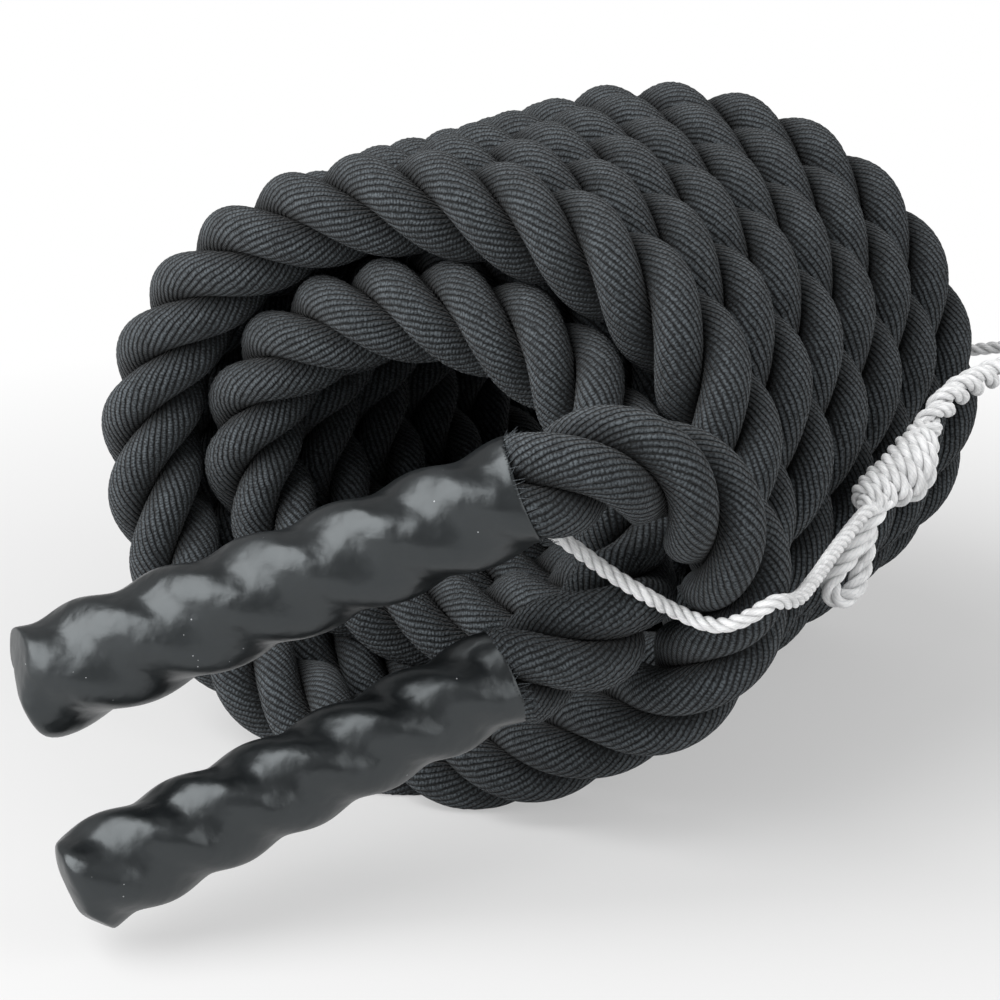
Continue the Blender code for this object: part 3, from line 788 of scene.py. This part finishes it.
def draw_film():
    """Draws the selected ring out to the tip in twisting steps, and closes it there."""
    depth = SLEEVE_LENGTH / SLEEVE_STEPS
    twist = FULL_TURN * depth / END_LAY_PITCH
    scale = 1.0
    for step in range(1, SLEEVE_STEPS + 1):
        wanted = sleeve_scale(step / SLEEVE_STEPS)
        centre = (0, 0, depth * step)
        bpy.ops.mesh.extrude_edges_move(TRANSFORM_OT_translate={"value": (0, 0, depth)})
        bpy.ops.transform.rotate(value=-twist, orient_axis="Z", center_override=centre)
        bpy.ops.transform.resize(value=(wanted / scale, wanted / scale, 1), center_override=centre)
        scale = wanted
    bpy.ops.mesh.edge_face_add()
    for thickness, rise in TIP_INSETS:
        bpy.ops.mesh.inset(thickness=thickness, depth=rise)


def fold_tip(mesh, turn, direction, tilt, reach):
    """Presses the closed tip flat on one side: what stands over a tilted plane goes down on it."""
    angle = direction - turn
    across = Vector((math.cos(angle), math.sin(angle), 0))
    normal = math.cos(tilt) * Vector((0, 0, 1)) + math.sin(tilt) * across
    plane = Vector((0, 0, SLEEVE_LENGTH)) + reach * across
    for vertex in mesh.vertices:
        over = (vertex.co - plane).dot(normal)
        if over > 0:
            vertex.co -= over * normal


def thicken(piece):
    """Gives the film its wall on the inside, and smooths it."""
    wall = piece.modifiers.new("wall", "SOLIDIFY")
    wall.thickness = FILM_WALL
    wall.offset = -1
    smooth = piece.modifiers.new("smooth", "SUBSURF")
    smooth.levels = 1
    smooth.render_levels = 1
    for modifier in ("wall", "smooth"):
        bpy.ops.object.modifier_apply(modifier=modifier)


def make_sleeve(name, node, handle, look):
    """A heat-shrunk sleeve: film that follows the three twisted strands, with a closed, folded tip."""
    deselect()
    bpy.ops.mesh.primitive_circle_add(vertices=SLEEVE_CORNERS, radius=SLEEVE_CREST)
    piece = bpy.context.object
    piece.name = name
    piece.data.name = name
    squeeze_lobes(piece.data)
    bpy.ops.object.mode_set(mode="EDIT")
    bpy.ops.mesh.select_all(action="SELECT")
    draw_film()
    bpy.ops.mesh.select_all(action="SELECT")
    bpy.ops.mesh.normals_make_consistent(inside=False)
    bpy.ops.object.mode_set(mode="OBJECT")
    fold_tip(piece.data, handle["turn"], *handle["fold"])
    thicken(piece)
    piece.data.transform(Matrix.Scale(handle["share"], 4))
    piece.data.transform(handle_matrix(handle))
    piece.data.shade_smooth()
    piece.data.materials.append(look)
    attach(piece, "root")
    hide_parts(node)


# Materials


class Nodes:
    """A material's nodes, made and joined in a line each."""

    def __init__(self, name, constants):
        self.material = bpy.data.materials.new(name)
        self.material.use_nodes = True
        self.tree = self.material.node_tree
        self.shader = self.tree.nodes["Principled BSDF"]
        for key, value in constants.items():
            self.shader.inputs[key].default_value = value

    def add(self, kind, **values):
        node = self.tree.nodes.new(kind)
        for key, value in values.items():
            setattr(node, key, value)
        return node

    def join(self, out, into):
        self.tree.links.new(out, into)

    def objects(self):
        """The place on the object."""
        return self.add("ShaderNodeTexCoord").outputs["Object"]

    def uv(self, layer):
        """The two values of a UV map."""
        split = self.add("ShaderNodeSeparateXYZ")
        self.join(self.add("ShaderNodeUVMap", uv_map=layer).outputs[0], split.inputs[0])
        return split.outputs[:2]

    def math(self, operation, first, second=None):
        node = self.add("ShaderNodeMath", operation=operation)
        for slot, value in enumerate((first, second)):
            if value is None:
                continue
            if isinstance(value, (int, float)):
                node.inputs[slot].default_value = value
            else:
                self.join(value, node.inputs[slot])
        return node.outputs[0]

    def scaled(self, value, factor, plus):
        """A value times a factor, plus a second value."""
        return self.math("ADD", self.math("MULTIPLY", value, factor), plus)

    def swing(self, value, size):
        """A noise about zero, of a size."""
        return self.math("MULTIPLY", self.math("SUBTRACT", value, 0.5), size)

    def arch(self, value):
        """A round arch over each whole step of a value."""
        half = self.math("MULTIPLY", self.math("PINGPONG", value, 0.5), 2.0)
        return self.math("SQRT", self.math("MULTIPLY", half, self.math("SUBTRACT", 2.0, half)))

    def ramp(self, fac, stops):
        node = self.add("ShaderNodeValToRGB")
        elements = node.color_ramp.elements
        while len(elements) < len(stops):
            elements.new(0.5)
        for element, (at, colour) in zip(elements, stops):
            element.position = at
            element.color = (*colour, 1)
        self.join(fac, node.inputs[0])
        return node.outputs[0]

    def multiplied(self, first, second):
        node = self.add("ShaderNodeMix", data_type="RGBA", blend_type="MULTIPLY")
        node.inputs["Factor"].default_value = 1.0
        self.join(first, node.inputs["A"])
        self.join(second, node.inputs["B"])
        return node.outputs["Result"]

    def noise(self, coordinates, scale, detail=NOISE_DETAIL):
        node = self.add("ShaderNodeTexNoise")
        node.inputs["Scale"].default_value = scale
        node.inputs["Detail"].default_value = detail
        self.join(coordinates, node.inputs["Vector"])
        return node.outputs["Fac"]

    def colour(self, out):
        """Colours the material."""
        self.join(out, self.shader.inputs["Base Color"])

    def relief(self, height, distance):
        """Raises the material's surface by a height."""
        bump = self.add("ShaderNodeBump")
        bump.inputs["Distance"].default_value = distance
        bump.inputs["Strength"].default_value = 1.0
        self.join(height, bump.inputs["Height"])
        self.join(bump.outputs[0], self.shader.inputs["Normal"])


def painted_groove_shade(made, painted_shade):
    """Painted shade on a strand: dark near its neighbours, full on its crest."""
    levels = (painted_shade, 0.5 + painted_shade / 2, 1.0)
    stops = [(at, (level, level, level)) for at, level in zip(PAINTED_SHADE_STEPS, levels)]
    return made.ramp(made.uv("strands")[0], stops)


def fibre_look(name, fibre):
    """Fibre of a laid cord: fine yarns with small beads along them, painted shade between the yarns and
    between the strands, painted light on the yarns' ridges.
    """
    made = Nodes(name, FIBRE_SHADER)
    objects = made.objects()
    soft = made.noise(objects, FUZZ_SCALE, FINE_DETAIL)
    patch = made.noise(objects, PATCH_SCALE)
    over, distance = made.uv("yarns")
    across = made.math("ADD", over, made.swing(made.noise(objects, WAVER_SCALE), WAVER_SIZE))
    number = made.add("ShaderNodeTexWhiteNoise", noise_dimensions="1D")
    made.join(made.math("FLOOR", across), number.inputs["W"])
    yarn = number.outputs["Value"]
    shift = made.scaled(yarn, YARN_BEAD_SHIFT, made.math("MULTIPLY", patch, PATCH_BEAD_SHIFT))
    bead = made.arch(made.math("ADD", made.math("DIVIDE", distance, fibre["bead_length"]), shift))
    height = made.math("MULTIPLY", made.arch(across), made.scaled(bead, BEAD_DEPTH, 1 - BEAD_DEPTH))
    fuzzy = made.math("ADD", height, made.swing(soft, FUZZ_SIZE))
    # The ramp over the yarns' height paints shade between them and light on their ridges
    colour = made.ramp(fuzzy, list(zip(COLOUR_STEPS, fibre["colours"])))
    tone = made.scaled(yarn, YARN_TONE, made.math("MULTIPLY", patch, PATCH_TONE))
    tone = made.math("ADD", tone, LEAST_TONE)
    # Painted shade near the neighbouring strands, times a tone that differs at random by yarn and patch
    made.colour(made.multiplied(made.multiplied(colour, painted_groove_shade(made, fibre["painted_shade"])), tone))
    made.relief(made.scaled(soft, FUZZ_RELIEF, height), fibre["relief"])
    return made.material


def film_look():
    """Glossy black heat-shrunk film, crinkled a little, with a few specks of dust."""
    made = Nodes("shrunk_film", FILM_SHADER)
    objects = made.objects()
    bulges = made.noise(objects, BULGE_SCALE, BULGE_DETAIL)
    wrinkle = made.noise(objects, WRINKLE_SCALE, FINE_DETAIL)
    cloud = made.noise(objects, CLOUD_SCALE, FINE_DETAIL)
    dust = made.add("ShaderNodeTexVoronoi")
    dust.inputs["Scale"].default_value = DUST_SCALE
    made.join(objects, dust.inputs["Vector"])
    speck = made.math("LESS_THAN", dust.outputs["Distance"], DUST_RADIUS)
    speck = made.math("MULTIPLY", speck, made.math("GREATER_THAN", cloud, DUST_FROM_CLOUD))
    mix = made.add("ShaderNodeMix", data_type="RGBA")
    mix.inputs["B"].default_value = DUST_COLOUR
    made.join(speck, mix.inputs["Factor"])
    made.join(made.ramp(cloud, FILM_COLOURS), mix.inputs["A"])
    made.colour(mix.outputs["Result"])
    made.join(made.scaled(cloud, CLOUD_ROUGHNESS, LEAST_ROUGHNESS), made.shader.inputs["Roughness"])
    made.relief(made.scaled(wrinkle, WRINKLE_SIZE, bulges), FILM_RELIEF)
    return made.material


def tape_look():
    """Dull tape round the rope's ends, out of sight in the sleeves."""
    made = Nodes("binding_cloth_tape", TAPE_SHADER)
    made.colour(made.ramp(made.noise(made.objects(), TAPE_GRAIN_SCALE), TAPE_COLOURS))
    return made.material


# Surroundings


def make_floor():
    """A plain pale floor, which goes over into white further off."""
    deselect()
    bpy.ops.mesh.primitive_plane_add(size=FLOOR_SIZE, location=(0, 0, 0))
    floor = bpy.context.object
    floor.name = "studio_floor"
    made = Nodes("pale_floor", FLOOR_SHADER)
    distance = made.add("ShaderNodeVectorMath", operation="LENGTH")
    made.join(made.objects(), distance.inputs[0])
    far = made.ramp(made.math("DIVIDE", distance.outputs["Value"], FLOOR_GLOW_REACH), FLOOR_GLOW)
    ray = made.add("ShaderNodeLightPath")
    seen = made.math("MAXIMUM", ray.outputs["Is Camera Ray"], ray.outputs["Is Glossy Ray"])
    seen = made.math("MAXIMUM", seen, ray.outputs["Is Transmission Ray"])
    white = made.add("ShaderNodeEmission")
    white.inputs["Color"].default_value = WHITE
    mix = made.add("ShaderNodeMixShader")
    made.join(made.math("MULTIPLY", seen, far), mix.inputs[0])
    made.join(made.shader.outputs[0], mix.inputs[1])
    made.join(white.outputs[0], mix.inputs[2])
    made.join(mix.outputs[0], made.tree.nodes["Material Output"].inputs["Surface"])
    floor.data.materials.append(made.material)


def area_light(name, place, aim, size, watts):
    """A soft rectangular lamp that faces a point."""
    data = bpy.data.lights.new(name, "AREA")
    data.shape = "RECTANGLE"
    data.size, data.size_y = size
    data.energy = watts
    lamp = bpy.data.objects.new(name, data)
    bpy.context.collection.objects.link(lamp)
    lamp.location = place
    way = Vector(aim) - Vector(place)
    lamp.rotation_euler = way.to_track_quat("-Z", "Y").to_euler()


def make_lights():
    """Plain soft studio light: a large lamp above the front, a weak one at the right, a pale world."""
    for lamp in LAMPS:
        area_light(*lamp)
    world = bpy.data.worlds.new("studio")
    world.use_nodes = True
    bpy.context.scene.world = world
    world.node_tree.nodes["Background"].inputs[0].default_value = WHITE
    world.node_tree.nodes["Background"].inputs[1].default_value = WORLD_STRENGTH


def make_scene():
    """Everything, camera and cords first."""
    bpy.context.scene.view_settings.view_transform = "Standard"
    make_camera()
    rope_fibre = fibre_look("rope_yarns", ROPE_FIBRE)
    tie_fibre = fibre_look("tie_yarns", TIE_FIBRE)
    make_rope(rope_fibre)
    make_knot(tie_fibre)
    make_front(tie_fibre)
    make_twin(tie_fibre)
    make_bight(tie_fibre)
    film = film_look()
    make_sleeve("upper_grip_film", "upper_handle_sleeve", UPPER_HANDLE, film)
    make_sleeve("lower_grip_film", "lower_handle_sleeve", LOWER_HANDLE, film)
    tape = tape_look()
    for node in ("upper_end_binding", "lower_end_binding"):
        frame["nodes"][node].data.materials.clear()
        frame["nodes"][node].data.materials.append(tape)
    make_floor()
    make_lights()


make_scene()
